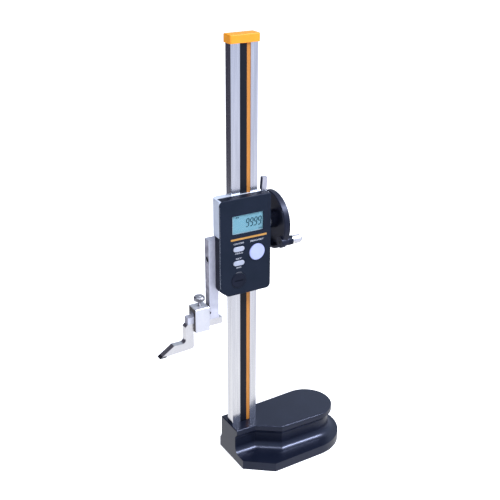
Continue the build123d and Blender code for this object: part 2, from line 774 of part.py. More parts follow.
# ---------------------------------------------------------------- clamp lever and its shoe
lever_plane = Plane((lever_x, lever_y + lever_thickness / 2, lever_z), x_dir=(1, 0, 0), z_dir=(0, -1, 0))
grip_plane = Plane((lever_x, lever_y + grip_depth / 2, lever_z), x_dir=(1, 0, 0), z_dir=(0, -1, 0))
with BuildPart() as clamp_lever:
    with BuildSketch(lever_plane):
        with Locations((0, -lever_cam_throw)):
            Circle(lever_cam_radius)
        with Locations(Location((0, 0), -lever_tilt)):
            Rectangle(lever_shank, lever_below_top + GAP + 1.0, align=(Align.CENTER, Align.MIN))
        Circle(lever_pin_radius + RUN, mode=Mode.SUBTRACT)
    extrude(amount=lever_thickness)
    with BuildSketch(grip_plane):
        with Locations(Location((0, 0), -lever_tilt)):
            with Locations((0, lever_below_top + 2 * GAP + grip_height / 2)):
                Rectangle(grip_width, grip_height)
    extrude(amount=grip_depth)
    chamfer(edges().group_by(Axis.Z)[-1], 0.5)
finish(clamp_lever.part, "clamp_lever")

with BuildPart() as lever_pin:
    rod((lever_x, web_front, lever_z), (0, 1, 0), lever_pin_radius, fork_back - web_front)
finish(lever_pin.part, "lever_pin")

shoe_face = half_width + shoe_gap
with BuildPart() as clamp_shoe:
    slab(
        (shoe_face, shoe_rear),
        (lever_slot[0] + RUN, shoe_back - RUN),
        (lever_z - shoe_height / 2, lever_z + shoe_height / 2),
    )
finish(clamp_shoe.part, "clamp_shoe")

# ---------------------------------------------------------------- display housing and what it holds
cavity_back = housing_back - housing_wall
battery_x = panel_left + oblong_key_from_left
battery_z = panel_bottom + battery_from_bottom
lcd_x = (panel_left + lcd_from_left - lcd_width / 2, panel_left + lcd_from_left + lcd_width / 2)
lcd_z = (panel_bottom + lcd_from_bottom - lcd_height / 2, panel_bottom + lcd_from_bottom + lcd_height / 2)
round_key_place = (panel_left + round_key_from_left, panel_bottom + round_key_from_bottom)
oblong_keys = {
    "upper_key": (panel_left + oblong_key_from_left, panel_bottom + upper_key_from_bottom),
    "lower_key": (panel_left + oblong_key_from_left, panel_bottom + lower_key_from_bottom),
}
front_plane = Plane(origin=(0, panel_front, 0), z_dir=(0, -1, 0), x_dir=(1, 0, 0))
back_of_panel = Plane(origin=(0, panel_back, 0), z_dir=(0, -1, 0), x_dir=(1, 0, 0))
port_z = (panel_bottom + 11.6, panel_bottom + 24.4)
port_y = (panel_back + 1.9, housing_back - 1.9)
port_depth = 1.2
port_proud = 0.9
port_round = 0.6


def panel_corners(inset):
    """The panel's corners, the slanted lower left one first and the upper right one last."""
    left = panel_left + inset
    right = panel_right - inset
    bottom = panel_bottom + inset
    top = panel_top - inset
    return (
        (right, bottom),
        (left + panel_cut_x, bottom),
        (left, bottom + panel_cut_z),
        (left, top),
        (right, top),
    )


def upper_right(corners):
    """The corner that lies furthest up and to the right."""
    return corners.sort_by(lambda corner: corner.X + corner.Y)[-1:]


with BuildPart() as display_housing:
    for inset, depth, mode in (
        (0, panel_back - housing_back, Mode.ADD),
        (housing_wall, panel_back - cavity_back, Mode.SUBTRACT),
    ):
        with BuildSketch(back_of_panel):
            with BuildLine():
                Polyline(*panel_corners(inset), close=True)
            make_face()
            corner = upper_right(vertices())
            fillet(vertices() - corner, panel_corner)
            fillet(upper_right(vertices()), panel_corner_small)
            with Locations((panel_left, panel_top)):
                Rectangle(
                    2 * (shoulder_wall + inset + SEAT),
                    2 * (shoulder_height + inset),
                    mode=Mode.SUBTRACT,
                )
        extrude(amount=depth, mode=mode)
    for x, z in housing_screw_places:
        bore((x, cavity_back, z), (0, 1, 0), housing_screw_radius + SEAT, housing_wall)
    slab((panel_right - port_depth, panel_right), port_y, port_z, mode=Mode.SUBTRACT)
finish(display_housing.part, "display_housing")

with BuildPart() as housing_screws:
    for x, z in housing_screw_places:
        rod((x, cavity_back, z), (0, 1, 0), housing_screw_radius, housing_wall + housing_screw_bite - GAP)
        rod((x, cavity_back, z), (0, -1, 0), housing_screw_head, housing_screw_head_height)
finish(housing_screws.part, "housing_screws")

with BuildPart() as data_port_cover:
    slab(
        (panel_right - port_depth, panel_right + port_proud),
        (port_y[0] + SEAT, port_y[1] - SEAT),
        (port_z[0] + SEAT, port_z[1] - SEAT),
    )
    fillet(edges().group_by(Axis.X)[-1], port_round)
finish(data_port_cover.part, "data_port_cover")

with BuildPart() as front_panel:
    with BuildSketch(front_plane):
        with BuildLine():
            Polyline(*panel_corners(0), close=True)
        make_face()
        corner = upper_right(vertices())
        fillet(vertices() - corner, panel_corner)
        fillet(upper_right(vertices()), panel_corner_small)
        with Locations(((lcd_x[0] + lcd_x[1]) / 2, (lcd_z[0] + lcd_z[1]) / 2)):
            Rectangle(lcd_width, lcd_height, mode=Mode.SUBTRACT)
        with Locations(round_key_place):
            Circle(round_key_radius + GAP, mode=Mode.SUBTRACT)
        with Locations(*oblong_keys.values()):
            SlotOverall(oblong_key_length + 2 * GAP, oblong_key_height + 2 * GAP, mode=Mode.SUBTRACT)
        with Locations((battery_x, battery_z)):
            Circle(battery_cap_radius + GAP, mode=Mode.SUBTRACT)
    extrude(amount=-panel_thickness)
    chamfer(faces().sort_by(Axis.Y)[0].outer_wire().edges(), panel_edge)
finish(front_panel.part, "front_panel")

with BuildPart() as lcd_window:
    slab(
        (lcd_x[0] + SEAT, lcd_x[1] - SEAT),
        (panel_front + RUN, panel_back - RUN),
        (lcd_z[0] + SEAT, lcd_z[1] - SEAT),
    )
finish(lcd_window.part, "lcd_window")

board_front = cavity_back - board_thickness
board_x = (battery_x - 11.0, panel_right - housing_wall - 7.0)
board_z = (panel_bottom + housing_wall + 5.0, panel_top - housing_wall - 3.0)
with BuildPart() as circuit_board:
    slab(board_x, (board_front, cavity_back), board_z)
    bore((battery_x, board_front, battery_z), (0, 1, 0), battery_radius + 2 * GAP, board_thickness)
finish(circuit_board.part, "circuit_board")

lcd_margin_x = 1.5
lcd_margin_z = 2.5
with BuildPart() as lcd_module:
    slab(
        (lcd_x[0] - lcd_margin_x, lcd_x[1] + lcd_margin_x),
        (panel_back + GAP, board_front),
        (lcd_z[0] - lcd_margin_z, lcd_z[1] + lcd_margin_z),
    )
finish(lcd_module.part, "lcd_module")

key_flange = 1.0
key_skirt = 0.8
key_edge = 0.35
key_stem_radius = 1.6
switch_height = 2.3
switch_side = 4.5
switch_front = board_front - switch_height
key_stem_length = switch_front - key_travel - 2 * RUN - panel_back
key_plane = Plane(origin=(0, panel_front - key_proud, 0), z_dir=(0, -1, 0), x_dir=(1, 0, 0))
flange_plane = Plane(origin=(0, panel_back + RUN, 0), z_dir=(0, -1, 0), x_dir=(1, 0, 0))
key_depth = panel_back + RUN - (panel_front - key_proud)

with BuildPart() as tact_switches:
    for x, z in (round_key_place, *oblong_keys.values()):
        with Locations((x, (switch_front + board_front) / 2, z)):
            Box(switch_side, switch_height, switch_side)
finish(tact_switches.part, "tact_switches")

with BuildPart() as round_key:
    with BuildSketch(key_plane):
        with Locations(round_key_place):
            Circle(round_key_radius)
    extrude(amount=-key_depth)
    chamfer(faces().sort_by(Axis.Y)[0].edges(), key_edge)
    with BuildSketch(flange_plane):
        with Locations(round_key_place):
            Circle(round_key_radius + GAP + key_flange)
    extrude(amount=-key_skirt)
    rod((round_key_place[0], panel_back, round_key_place[1]), (0, 1, 0), key_stem_radius, key_stem_length)
finish(round_key.part, "round_key")

for key_name, place in oblong_keys.items():
    with BuildPart() as oblong_key:
        with BuildSketch(key_plane):
            with Locations(place):
                SlotOverall(oblong_key_length, oblong_key_height)
        extrude(amount=-key_depth)
        chamfer(faces().sort_by(Axis.Y)[0].edges(), key_edge)
        with BuildSketch(flange_plane):
            with Locations(place):
                SlotOverall(oblong_key_length + 2 * key_flange, oblong_key_height + 2 * key_flange)
        extrude(amount=-key_skirt)
        rod((place[0], panel_back, place[1]), (0, 1, 0), key_stem_radius, key_stem_length)
    finish(oblong_key.part, key_name)

battery_front = panel_back + 1.2
cap_front = panel_front - 0.5
coin_slot = (10.0, 1.4, 0.8)
with BuildPart() as battery_cap:
    rod((battery_x, cap_front, battery_z), (0, 1, 0), battery_cap_radius, battery_front - GAP - cap_front)
    chamfer(edges().group_by(Axis.Y)[0], 0.3)
    with Locations((battery_x, cap_front, battery_z)):
        Box(coin_slot[0], 2 * coin_slot[2], coin_slot[1], mode=Mode.SUBTRACT)
finish(battery_cap.part, "battery_cap")

with BuildPart() as battery:
    rod((battery_x, battery_front, battery_z), (0, 1, 0), battery_radius, battery_thickness)
    chamfer(edges().filter_by(GeomType.CIRCLE), 0.4)
finish(battery.part, "battery")

contact_side = 7.0
contact_front = battery_front + battery_thickness + RUN
with BuildPart() as battery_contact:
    with Locations((battery_x, (contact_front + cavity_back) / 2, battery_z)):
        Box(contact_side, cavity_back - contact_front, contact_side)
finish(battery_contact.part, "battery_contact")

# ---------------------------------------------------------------- jaw arm
arm_edge = 0.4
corner_relief = 1.6       # round relief where the bar meets the arm
arm_screw_head_height = 3.4
bar_left = flank_x - bar_reach
bar_top = bar_bottom + bar_height
arm_back = arm_front + arm_depth

with BuildPart() as jaw_arm:
    slab((arm_left, flank_x), (arm_front, arm_back), (bar_bottom, arm_top))
    chamfer(edges().filter_by(Axis.Z), arm_edge)
    slab((bar_left, arm_left + 2 * arm_edge), (arm_front, arm_front + bar_depth), (bar_bottom, bar_top))
    chamfer(faces().sort_by(Axis.X)[0].edges(), arm_edge)
    bore((arm_left, arm_front, bar_top), (0, 1, 0), corner_relief, arm_depth)
    bore((arm_left, arm_middle_y, arm_screw_z), (1, 0, 0), arm_screw_radius + SEAT, arm_width)
    bore((arm_left, arm_middle_y, arm_screw_z), (1, 0, 0), arm_screw_head + RUN, arm_screw_sink)
    for z in dowel_heights:
        bore((flank_x, arm_middle_y, z), (-1, 0, 0), dowel_radius + SEAT, dowel_length / 2)
finish(jaw_arm.part, "jaw_arm")

screw_seat = arm_left + arm_screw_sink
arm_screw_end = screw_seat - arm_screw_head_height
with BuildPart() as arm_screw:
    rod((screw_seat, arm_middle_y, arm_screw_z), (1, 0, 0), arm_screw_radius, arm_screw_length)
    rod((screw_seat, arm_middle_y, arm_screw_z), (-1, 0, 0), arm_screw_head, arm_screw_head_height)
    with BuildSketch(Plane((arm_screw_end, arm_middle_y, arm_screw_z), z_dir=(-1, 0, 0))):
        RegularPolygon(arm_screw_head / 2, 6)
    extrude(amount=-arm_screw_head_height / 2, mode=Mode.SUBTRACT)
finish(arm_screw.part, "arm_screw")

with BuildPart() as arm_dowels:
    for z in dowel_heights:
        rod((flank_x - dowel_length / 2, arm_middle_y, z), (1, 0, 0), dowel_radius, dowel_length)
finish(arm_dowels.part, "arm_dowels")

# ---------------------------------------------------------------- scriber
scriber_top = bar_bottom - RUN
shank_bottom = scriber_top - scriber_height
blade_top = measuring_height + blade_top_above_face
bevel_slope = blade_top_above_face / (scriber_bevel_x - scriber_tip_x)
carbide_top = measuring_height + carbide_height
carbide_right = scriber_tip_x + carbide_length
carbide_top_left = scriber_tip_x + carbide_height / bevel_slope
drop_right = scriber_drop_left + scriber_drop_width
bend_radius = 3.4
heel_cut = 2.0
sole_rise_tip = 1.0
sole_rise_heel = 2.8

with BuildPart() as scriber:
    with BuildSketch(Plane.XZ.offset(-arm_front)):
        with BuildLine():
            Polyline(
                (scriber_drop_left, blade_top + bend_radius),
                (scriber_drop_left, scriber_top - scriber_chamfer),
                (scriber_drop_left + scriber_chamfer, scriber_top),
                (scriber_rear, scriber_top),
                (scriber_rear, shank_bottom),
                (drop_right, shank_bottom),
                (drop_right, measuring_height + sole_rise_heel + heel_cut),
                (drop_right - heel_cut, measuring_height + sole_rise_heel),
                (carbide_right, measuring_height + sole_rise_tip),
                (carbide_right, carbide_top),
                (carbide_top_left, carbide_top),
                (scriber_bevel_x, blade_top),
                (scriber_drop_left - bend_radius, blade_top),
            )
            RadiusArc(
                (scriber_drop_left - bend_radius, blade_top),
                (scriber_drop_left, blade_top + bend_radius),
                -bend_radius,
            )
        make_face()
    extrude(amount=-scriber_depth)
finish(scriber.part, "scriber")

with BuildPart() as carbide_tip:
    with BuildSketch(Plane.XZ.offset(-arm_front)):
        with BuildLine():
            Polyline(
                (scriber_tip_x, measuring_height),
                (carbide_right, measuring_height),
                (carbide_right, carbide_top),
                (carbide_top_left, carbide_top),
                close=True,
            )
        make_face()
    extrude(amount=-scriber_depth)
finish(carbide_tip.part, "carbide_tip")

# ---------------------------------------------------------------- scriber clamp
clamp_bottom = shank_bottom - RUN - clamp_sole
clamp_roof = bar_top + clamp_room
clamp_top = clamp_roof + clamp_top_wall
clamp_front = arm_front - RUN - clamp_wall
clamp_inner_back = arm_front + bar_depth + RUN
clamp_x = (clamp_left, clamp_left + clamp_width)
clamp_edge = 0.5
pad_height = 1.2
pad_radius = 3.0
thumb_y = arm_front + bar_depth / 2

with BuildPart() as scriber_clamp:
    slab(clamp_x, (clamp_front, clamp_inner_back + clamp_wall), (clamp_bottom, clamp_top))
    chamfer(edges(), clamp_edge)
    slab(clamp_x, (arm_front - RUN, clamp_inner_back), (clamp_bottom + clamp_sole, clamp_roof), Mode.SUBTRACT)
    bore((thumb_x, thumb_y, clamp_roof), (0, 0, 1), thumb_thread + RUN, clamp_top_wall)
finish(scriber_clamp.part, "scriber_clamp")

pad_bottom = bar_top + RUN
with BuildPart() as clamp_pad:
    rod((thumb_x, thumb_y, pad_bottom), (0, 0, 1), pad_radius, pad_height)
finish(clamp_pad.part, "clamp_pad")

thumb_bottom = pad_bottom + pad_height + RUN
head_bottom = clamp_top + thumb_neck_length
with BuildPart() as thumb_screw:
    rod((thumb_x, thumb_y, thumb_bottom), (0, 0, 1), thumb_thread, clamp_top - thumb_bottom)
    rod((thumb_x, thumb_y, clamp_top), (0, 0, 1), thumb_neck, thumb_neck_length)
    rod((thumb_x, thumb_y, head_bottom), (0, 0, 1), thumb_head_radius, thumb_head_height)
    chamfer(edges().group_by(Axis.Z)[-1], thumb_head_edge)
finish(thumb_screw.part, "thumb_screw")
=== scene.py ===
import json
import math

import bmesh
import bpy
from mathutils import Matrix, Vector


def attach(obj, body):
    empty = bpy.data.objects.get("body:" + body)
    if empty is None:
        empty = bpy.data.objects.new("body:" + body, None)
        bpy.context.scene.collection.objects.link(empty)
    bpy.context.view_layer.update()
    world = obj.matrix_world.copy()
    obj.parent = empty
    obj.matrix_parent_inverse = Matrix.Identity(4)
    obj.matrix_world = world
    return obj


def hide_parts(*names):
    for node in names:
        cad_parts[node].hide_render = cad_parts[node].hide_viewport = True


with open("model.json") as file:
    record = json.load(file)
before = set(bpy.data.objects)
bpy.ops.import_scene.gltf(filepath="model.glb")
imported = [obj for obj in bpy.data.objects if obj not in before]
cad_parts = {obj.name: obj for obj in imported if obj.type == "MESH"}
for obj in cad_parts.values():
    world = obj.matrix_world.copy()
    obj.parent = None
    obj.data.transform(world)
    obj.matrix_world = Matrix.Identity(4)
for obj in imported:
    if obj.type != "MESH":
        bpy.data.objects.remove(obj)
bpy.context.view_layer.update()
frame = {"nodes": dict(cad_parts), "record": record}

MM = 0.001
NODES = frame["nodes"]

# ---------------------------------------------------------------- camera
CAMERA_YAW = math.radians(29.78)      # from straight in front, towards the object's left
CAMERA_PITCH = math.radians(23.09)    # looking down
CAMERA_ROLL = math.radians(0.2)
FOCAL_PIXELS = 934.1
FRAME_PIXELS = 500.0
SENSOR_MM = 36.0
CLIP_START = 0.01
CAMERA_SHIFT = (-0.00942, -0.22948, 1.08037)   # object origin seen from the camera: right, up, away


def make_camera():
    """The camera at the photograph's angle and distance."""
    sin_yaw, cos_yaw = math.sin(CAMERA_YAW), math.cos(CAMERA_YAW)
    sin_pitch, cos_pitch = math.sin(CAMERA_PITCH), math.cos(CAMERA_PITCH)
    forward = Vector((sin_yaw * cos_pitch, cos_yaw * cos_pitch, -sin_pitch))
    level = Vector((cos_yaw, -sin_yaw, 0.0))
    upward = level.cross(forward)
    right = level * math.cos(CAMERA_ROLL) + upward * math.sin(CAMERA_ROLL)
    up = upward * math.cos(CAMERA_ROLL) - level * math.sin(CAMERA_ROLL)
    place = -(CAMERA_SHIFT[0] * right + CAMERA_SHIFT[1] * up + CAMERA_SHIFT[2] * forward)
    data = bpy.data.cameras.new("camera")
    data.sensor_width = SENSOR_MM
    data.lens = FOCAL_PIXELS / FRAME_PIXELS * SENSOR_MM
    data.clip_start = CLIP_START
    camera = bpy.data.objects.new("camera", data)
    turn = Matrix((right, up, -forward)).transposed().to_4x4()
    camera.matrix_world = Matrix.Translation(place) @ turn
    bpy.context.scene.collection.objects.link(camera)
    bpy.context.scene.camera = camera


# ---------------------------------------------------------------- shader nodes
MIX_FIRST, MIX_SECOND, MIX_RESULT = 6, 7, 2     # the colour sockets of a Mix node


def new_material(name):
    """A node material, its tree and its main shader."""
    material = bpy.data.materials.new(name)
    material.use_nodes = True
    return material, material.node_tree, material.node_tree.nodes["Principled BSDF"]


def noise(tree, vector, **inputs):
    """A noise texture with its inputs set by name."""
    made = tree.nodes.new("ShaderNodeTexNoise")
    for key, value in inputs.items():
        made.inputs[key].default_value = value
    if vector:
        tree.links.new(vector, made.inputs["Vector"])
    return made.outputs["Fac"]


def mapped(tree, value, source=(0.0, 1.0), target=(0.0, 1.0), interpolation="LINEAR"):
    """A value moved from the source range to the target range."""
    made = tree.nodes.new("ShaderNodeMapRange")
    made.interpolation_type = interpolation
    made.inputs["From Min"].default_value, made.inputs["From Max"].default_value = source
    made.inputs["To Min"].default_value, made.inputs["To Max"].default_value = target
    tree.links.new(value, made.inputs["Value"])
    return made.outputs["Result"]


def ramp(tree, value, stops):
    """A colour looked up between (position, colour) stops."""
    made = tree.nodes.new("ShaderNodeValToRGB")
    elements = made.color_ramp.elements
    while len(elements) < len(stops):
        elements.new(0.5)
    for element, (position, colour) in zip(elements, stops):
        element.position = position
        element.color = (*colour, 1)
    tree.links.new(value, made.inputs["Fac"])
    return made.outputs["Color"]


def mixed(tree, share, first, second):
    """The first colour giving way to the second, which is a socket or a fixed colour."""
    mix = tree.nodes.new("ShaderNodeMix")
    mix.data_type = "RGBA"
    tree.links.new(share, mix.inputs["Factor"])
    tree.links.new(first, mix.inputs[MIX_FIRST])
    if isinstance(second, tuple):
        mix.inputs[MIX_SECOND].default_value = (*second, 1)
    else:
        tree.links.new(second, mix.inputs[MIX_SECOND])
    return mix.outputs[MIX_RESULT]


def math_node(tree, operation, *values):
    """The result of a sum on one or two sockets."""
    made = tree.nodes.new("ShaderNodeMath")
    made.operation = operation
    for socket, value in zip(made.inputs, values):
        tree.links.new(value, socket)
    return made.outputs["Value"]


# ---------------------------------------------------------------- materials
TONE_SPREAD = (0.3, 0.7)              # where in its noise a surface is fully dark and fully light
TONE_DETAIL = 4.0
TONE_ROUGHNESS = 0.6
GRAIN_DETAIL = 3.0
SIDE_SHADE_FADE = (0.75, 0.92)              # how squarely a face looks along X before its painted shade shows
SIDE_SHADE_SPREAD = (0.38, 0.62)
SIDE_SHADE_MOTTLE = 170.0
SIDE_SHADE_DETAIL = 3.0
GLASS_COLOUR = (0.02, 0.03, 0.04, 1)
GLASS_ROUGHNESS = (0.03, 0.08)
GLASS_ALPHA = 0.10
GLASS_IOR = 1.49


def coordinates(tree, stretch):
    """Object coordinates, stretched so that a texture runs along an axis."""
    place = tree.nodes.new("ShaderNodeTexCoord")
    mapping = tree.nodes.new("ShaderNodeMapping")
    mapping.inputs["Scale"].default_value = stretch
    tree.links.new(place.outputs["Object"], mapping.inputs["Vector"])
    return mapping.outputs["Vector"]


def painted_side_shade(tree, vector, colour, side_shade_tones):
    """Faces that look along X get a mottled painted shade: two dark tones that stand in for the
    shade and dark reflections these faces catch.
    """
    place = tree.nodes.new("ShaderNodeTexCoord")
    split = tree.nodes.new("ShaderNodeSeparateXYZ")
    tree.links.new(place.outputs["Normal"], split.inputs["Vector"])
    facing = math_node(tree, "ABSOLUTE", split.outputs["X"])
    share = mapped(tree, facing, SIDE_SHADE_FADE)
    blotch = noise(tree, vector, Scale=SIDE_SHADE_MOTTLE, Detail=SIDE_SHADE_DETAIL)
    return mixed(tree, share, colour, ramp(tree, blotch, list(zip(SIDE_SHADE_SPREAD, side_shade_tones))))


def surface(name, dark, light, roughness, metallic=0.0, stretch=(1, 1, 1), tone_scale=60.0,
            grain_scale=900.0, grain=0.05, grain_depth=0.0001, specular=0.5,
            sheen_tint=(1.0, 1.0, 1.0), side_shade_tones=None):
    """A surface whose tone and roughness drift, over a fine grain that catches the light."""
    material, tree, shader = new_material(name)
    vector = coordinates(tree, stretch)
    tone = noise(tree, vector, Scale=tone_scale, Detail=TONE_DETAIL, Roughness=TONE_ROUGHNESS)
    colour = ramp(tree, tone, list(zip(TONE_SPREAD, (dark, light))))
    # faces that look along X take a painted shade
    if side_shade_tones:
        colour = painted_side_shade(tree, vector, colour, side_shade_tones)
    tree.links.new(colour, shader.inputs["Base Color"])
    fine = noise(tree, vector, Scale=grain_scale, Detail=GRAIN_DETAIL)
    tree.links.new(mapped(tree, fine, target=roughness), shader.inputs["Roughness"])
    bump = tree.nodes.new("ShaderNodeBump")
    bump.inputs["Strength"].default_value = grain
    bump.inputs["Distance"].default_value = grain_depth
    tree.links.new(fine, bump.inputs["Height"])
    tree.links.new(bump.outputs["Normal"], shader.inputs["Normal"])
    shader.inputs["Metallic"].default_value = metallic
    shader.inputs["Specular IOR Level"].default_value = specular
    shader.inputs["Specular Tint"].default_value = (*sheen_tint, 1)
    return material


def glass_material():
    """The display window: faint smears over clear plastic."""
    material, tree, shader = new_material("window_glass")
    drift = noise(tree, None, Scale=30.0, Detail=2.0)
    tree.links.new(mapped(tree, drift, target=GLASS_ROUGHNESS), shader.inputs["Roughness"])
    shader.inputs["Base Color"].default_value = GLASS_COLOUR
    shader.inputs["Alpha"].default_value = GLASS_ALPHA
    shader.inputs["IOR"].default_value = GLASS_IOR
    return material


BLUE_SHEEN = (0.66, 0.73, 1.0)
ALONG_Z = (1.0, 1.0, 0.03)            # brushed along the column
SURFACES = {
    "casting_paint": dict(
        dark=(0.002, 0.0035, 0.010), light=(0.004, 0.006, 0.015), roughness=(0.27, 0.34),
        tone_scale=40, grain_scale=420, grain=0.2, grain_depth=0.000004, specular=0.55,
        sheen_tint=BLUE_SHEEN,
    ),
    "column_steel": dict(
        dark=(0.70, 0.71, 0.76), light=(0.86, 0.87, 0.90), roughness=(0.16, 0.28), metallic=1.0,
        stretch=ALONG_Z, tone_scale=420, grain_scale=2600, grain=0.2, grain_depth=0.000003,
    ),
    "scale_black": dict(
        dark=(0.003, 0.005, 0.009), light=(0.006, 0.007, 0.013), roughness=(0.34, 0.42),
        stretch=ALONG_Z, grain=0.03, specular=0.2,
    ),
    "stripe_orange": dict(
        dark=(0.36, 0.135, 0.020), light=(0.42, 0.17, 0.028), roughness=(0.40, 0.5), grain=0.03,
        tone_scale=25, specular=0.3,
    ),
    "cap_orange": dict(
        dark=(0.64, 0.225, 0.008), light=(0.69, 0.265, 0.012), roughness=(0.38, 0.5), grain=0.06,
        tone_scale=30, specular=0.35,
    ),
    "rack_steel": dict(
        dark=(0.45, 0.45, 0.47), light=(0.58, 0.58, 0.60), roughness=(0.28, 0.42), metallic=1.0,
        grain=0.1,
    ),
    "screw_steel": dict(
        dark=(0.20, 0.20, 0.21), light=(0.30, 0.30, 0.32), roughness=(0.3, 0.45), metallic=1.0,
    ),
    "slider_metal": dict(
        dark=(0.66, 0.70, 0.78), light=(0.76, 0.79, 0.86), roughness=(0.30, 0.42), metallic=0.9,
        tone_scale=90, grain_scale=1600, grain=0.08,
    ),
    "bronze": dict(
        dark=(0.50, 0.30, 0.12), light=(0.60, 0.38, 0.16), roughness=(0.3, 0.42), metallic=1.0,
    ),
    "black_plastic": dict(
        dark=(0.004, 0.006, 0.012), light=(0.007, 0.009, 0.018), roughness=(0.40, 0.50),
        grain=0.10, grain_scale=1500, specular=0.16, sheen_tint=BLUE_SHEEN,
    ),
    "panel_black": dict(
        dark=(0.003, 0.007, 0.015), light=(0.005, 0.009, 0.019), roughness=(0.46, 0.56),
        grain=0.12, grain_scale=1800, specular=0.22, sheen_tint=BLUE_SHEEN,
    ),
    "wheel_black": dict(
        dark=(0.003, 0.004, 0.010), light=(0.007, 0.008, 0.018), roughness=(0.34, 0.46),
        grain=0.12, grain_scale=1400, specular=0.34, sheen_tint=BLUE_SHEEN,
    ),
    "lcd_teal": dict(
        dark=(0.145, 0.345, 0.425), light=(0.155, 0.365, 0.45), roughness=(0.5, 0.6),
        tone_scale=20, grain=0.02,
    ),
    "board_green": dict(
        dark=(0.01, 0.08, 0.03), light=(0.02, 0.12, 0.05), roughness=(0.4, 0.5),
    ),
    "switch_plastic": dict(
        dark=(0.02, 0.02, 0.025), light=(0.04, 0.04, 0.05), roughness=(0.4, 0.5),
    ),
    "key_lavender": dict(
        dark=(0.27, 0.305, 0.56), light=(0.31, 0.35, 0.61), roughness=(0.45, 0.55), grain=0.08,
        grain_scale=1600,
    ),
    "cell_steel": dict(
        dark=(0.5, 0.5, 0.5), light=(0.6, 0.6, 0.6), roughness=(0.2, 0.3), metallic=1.0,
    ),
    "jaw_steel": dict(
        dark=(0.80, 0.80, 0.83), light=(0.88, 0.88, 0.90), roughness=(0.22, 0.36), metallic=1.0,
        tone_scale=120, grain_scale=1800, grain=0.10,
    ),
    "carbide": dict(
        dark=(0.16, 0.16, 0.17), light=(0.22, 0.22, 0.24), roughness=(0.2, 0.3), metallic=1.0,
    ),
    "knob_metal": dict(
        dark=(0.82, 0.82, 0.83), light=(0.90, 0.90, 0.91), roughness=(0.22, 0.32), metallic=1.0,
    ),
    "print_white": dict(
        dark=(0.32, 0.34, 0.39), light=(0.38, 0.40, 0.45), roughness=(0.5, 0.6),
    ),
    "print_dim": dict(
        dark=(0.10, 0.11, 0.13), light=(0.14, 0.15, 0.17), roughness=(0.5, 0.6),
    ),
    "print_orange": dict(
        dark=(0.34, 0.175, 0.035), light=(0.40, 0.20, 0.045), roughness=(0.45, 0.55), grain=0.03,
        specular=0.3,
    ),
    "lcd_pale": dict(
        dark=(0.46, 0.62, 0.72), light=(0.52, 0.67, 0.76), roughness=(0.5, 0.6), specular=0.1,
    ),
    "lcd_ink": dict(
        dark=(0.014, 0.055, 0.080), light=(0.020, 0.068, 0.095), roughness=(0.5, 0.6),
        specular=0.1,
    ),
    "screw_black": dict(
        dark=(0.004, 0.004, 0.006), light=(0.010, 0.010, 0.013), roughness=(0.4, 0.5),
        specular=0.15,
    ),
    "satin_silver": dict(
        dark=(0.60, 0.66, 0.78), light=(0.68, 0.74, 0.85), roughness=(0.40, 0.50), metallic=0.55,
        tone_scale=90, grain_scale=1600, grain=0.08,
    ),
    "arm_steel": dict(
        dark=(0.50, 0.51, 0.60), light=(0.60, 0.61, 0.69), roughness=(0.36, 0.48), metallic=0.45,
        tone_scale=160, grain_scale=1800, grain=0.08,
        # faces along X: painted shade in two mottled greys
        side_shade_tones=((0.20, 0.195, 0.245), (0.36, 0.35, 0.42)),
    ),
    "clamp_steel": dict(
        dark=(0.64, 0.65, 0.71), light=(0.72, 0.73, 0.78), roughness=(0.30, 0.42), metallic=0.7,
        tone_scale=160, grain_scale=1800, grain=0.08,
        # faces along X: painted shade, near black, with a warm painted reflection in the lighter
        # tone
        side_shade_tones=((0.008, 0.007, 0.009), (0.07, 0.045, 0.04)),
    ),
    "lever_steel": dict(
        dark=(0.56, 0.56, 0.64), light=(0.70, 0.70, 0.76), roughness=(0.26, 0.36), metallic=0.9,
        tone_scale=160, grain_scale=1800, grain=0.08,
        # faces along X: painted shade in two dark blue-greys
        side_shade_tones=((0.02, 0.022, 0.04), (0.06, 0.06, 0.09)),
    ),
    "knob_satin": dict(
        dark=(0.60, 0.60, 0.66), light=(0.70, 0.70, 0.75), roughness=(0.28, 0.40), metallic=0.8,
        tone_scale=120, grain_scale=1800, grain=0.06,
    ),
    "key_pale": dict(
        dark=(0.27, 0.295, 0.37), light=(0.31, 0.335, 0.41), roughness=(0.45, 0.55), grain=0.08,
        grain_scale=1600,
    ),
    "turned_steel": dict(
        dark=(0.50, 0.49, 0.53), light=(0.60, 0.59, 0.62), roughness=(0.24, 0.34), metallic=1.0,
        tone_scale=200, grain_scale=1500, grain=0.08,
    ),
    # darker than the turned steel: painted shade for the knurl's cavities
    "knurl_painted_shade": dict(
        dark=(0.26, 0.26, 0.29), light=(0.36, 0.36, 0.39), roughness=(0.28, 0.38), metallic=1.0,
        tone_scale=200, grain_scale=1500, grain=0.08,
    ),
}
MATERIALS = {name: surface(name, **look) for name, look in SURFACES.items()}
MATERIALS["window_glass"] = glass_material()

# CAD nodes that don't wear their record slot's own material
FINISHES = {
    "column_cap": "cap_orange",
    "upper_key": "key_pale",
    "lower_key": "key_pale",
    "arm_screw": "screw_black",
    "slider_body": "satin_silver",
    "jaw_arm": "arm_steel",
    "scriber_clamp": "clamp_steel",
    "clamp_lever": "lever_steel",
    "crank_pin": "screw_black",
}


def dress_cad_nodes():
    """Gives every CAD node its finish, or else the material of its record slot."""
    slots = {row["node"]: row["material_slot"] for row in frame["record"]["subparts"]}
    for name, cad in NODES.items():
        cad.data.materials.clear()
        cad.data.materials.append(MATERIALS[FINISHES.get(name, slots[name])])


# ---------------------------------------------------------------- pieces
# Places on the slider are in mm, as it stands at rest.
PANEL_Y = -18.3                       # face of the front panel
LCD_Y = -17.0                         # face of the display cell
PRINT = 0.04                          # how proud a printed mark stands
SINK = 0.01                           # how far its back reaches into the face
SMOOTH_ANGLE = 35.0


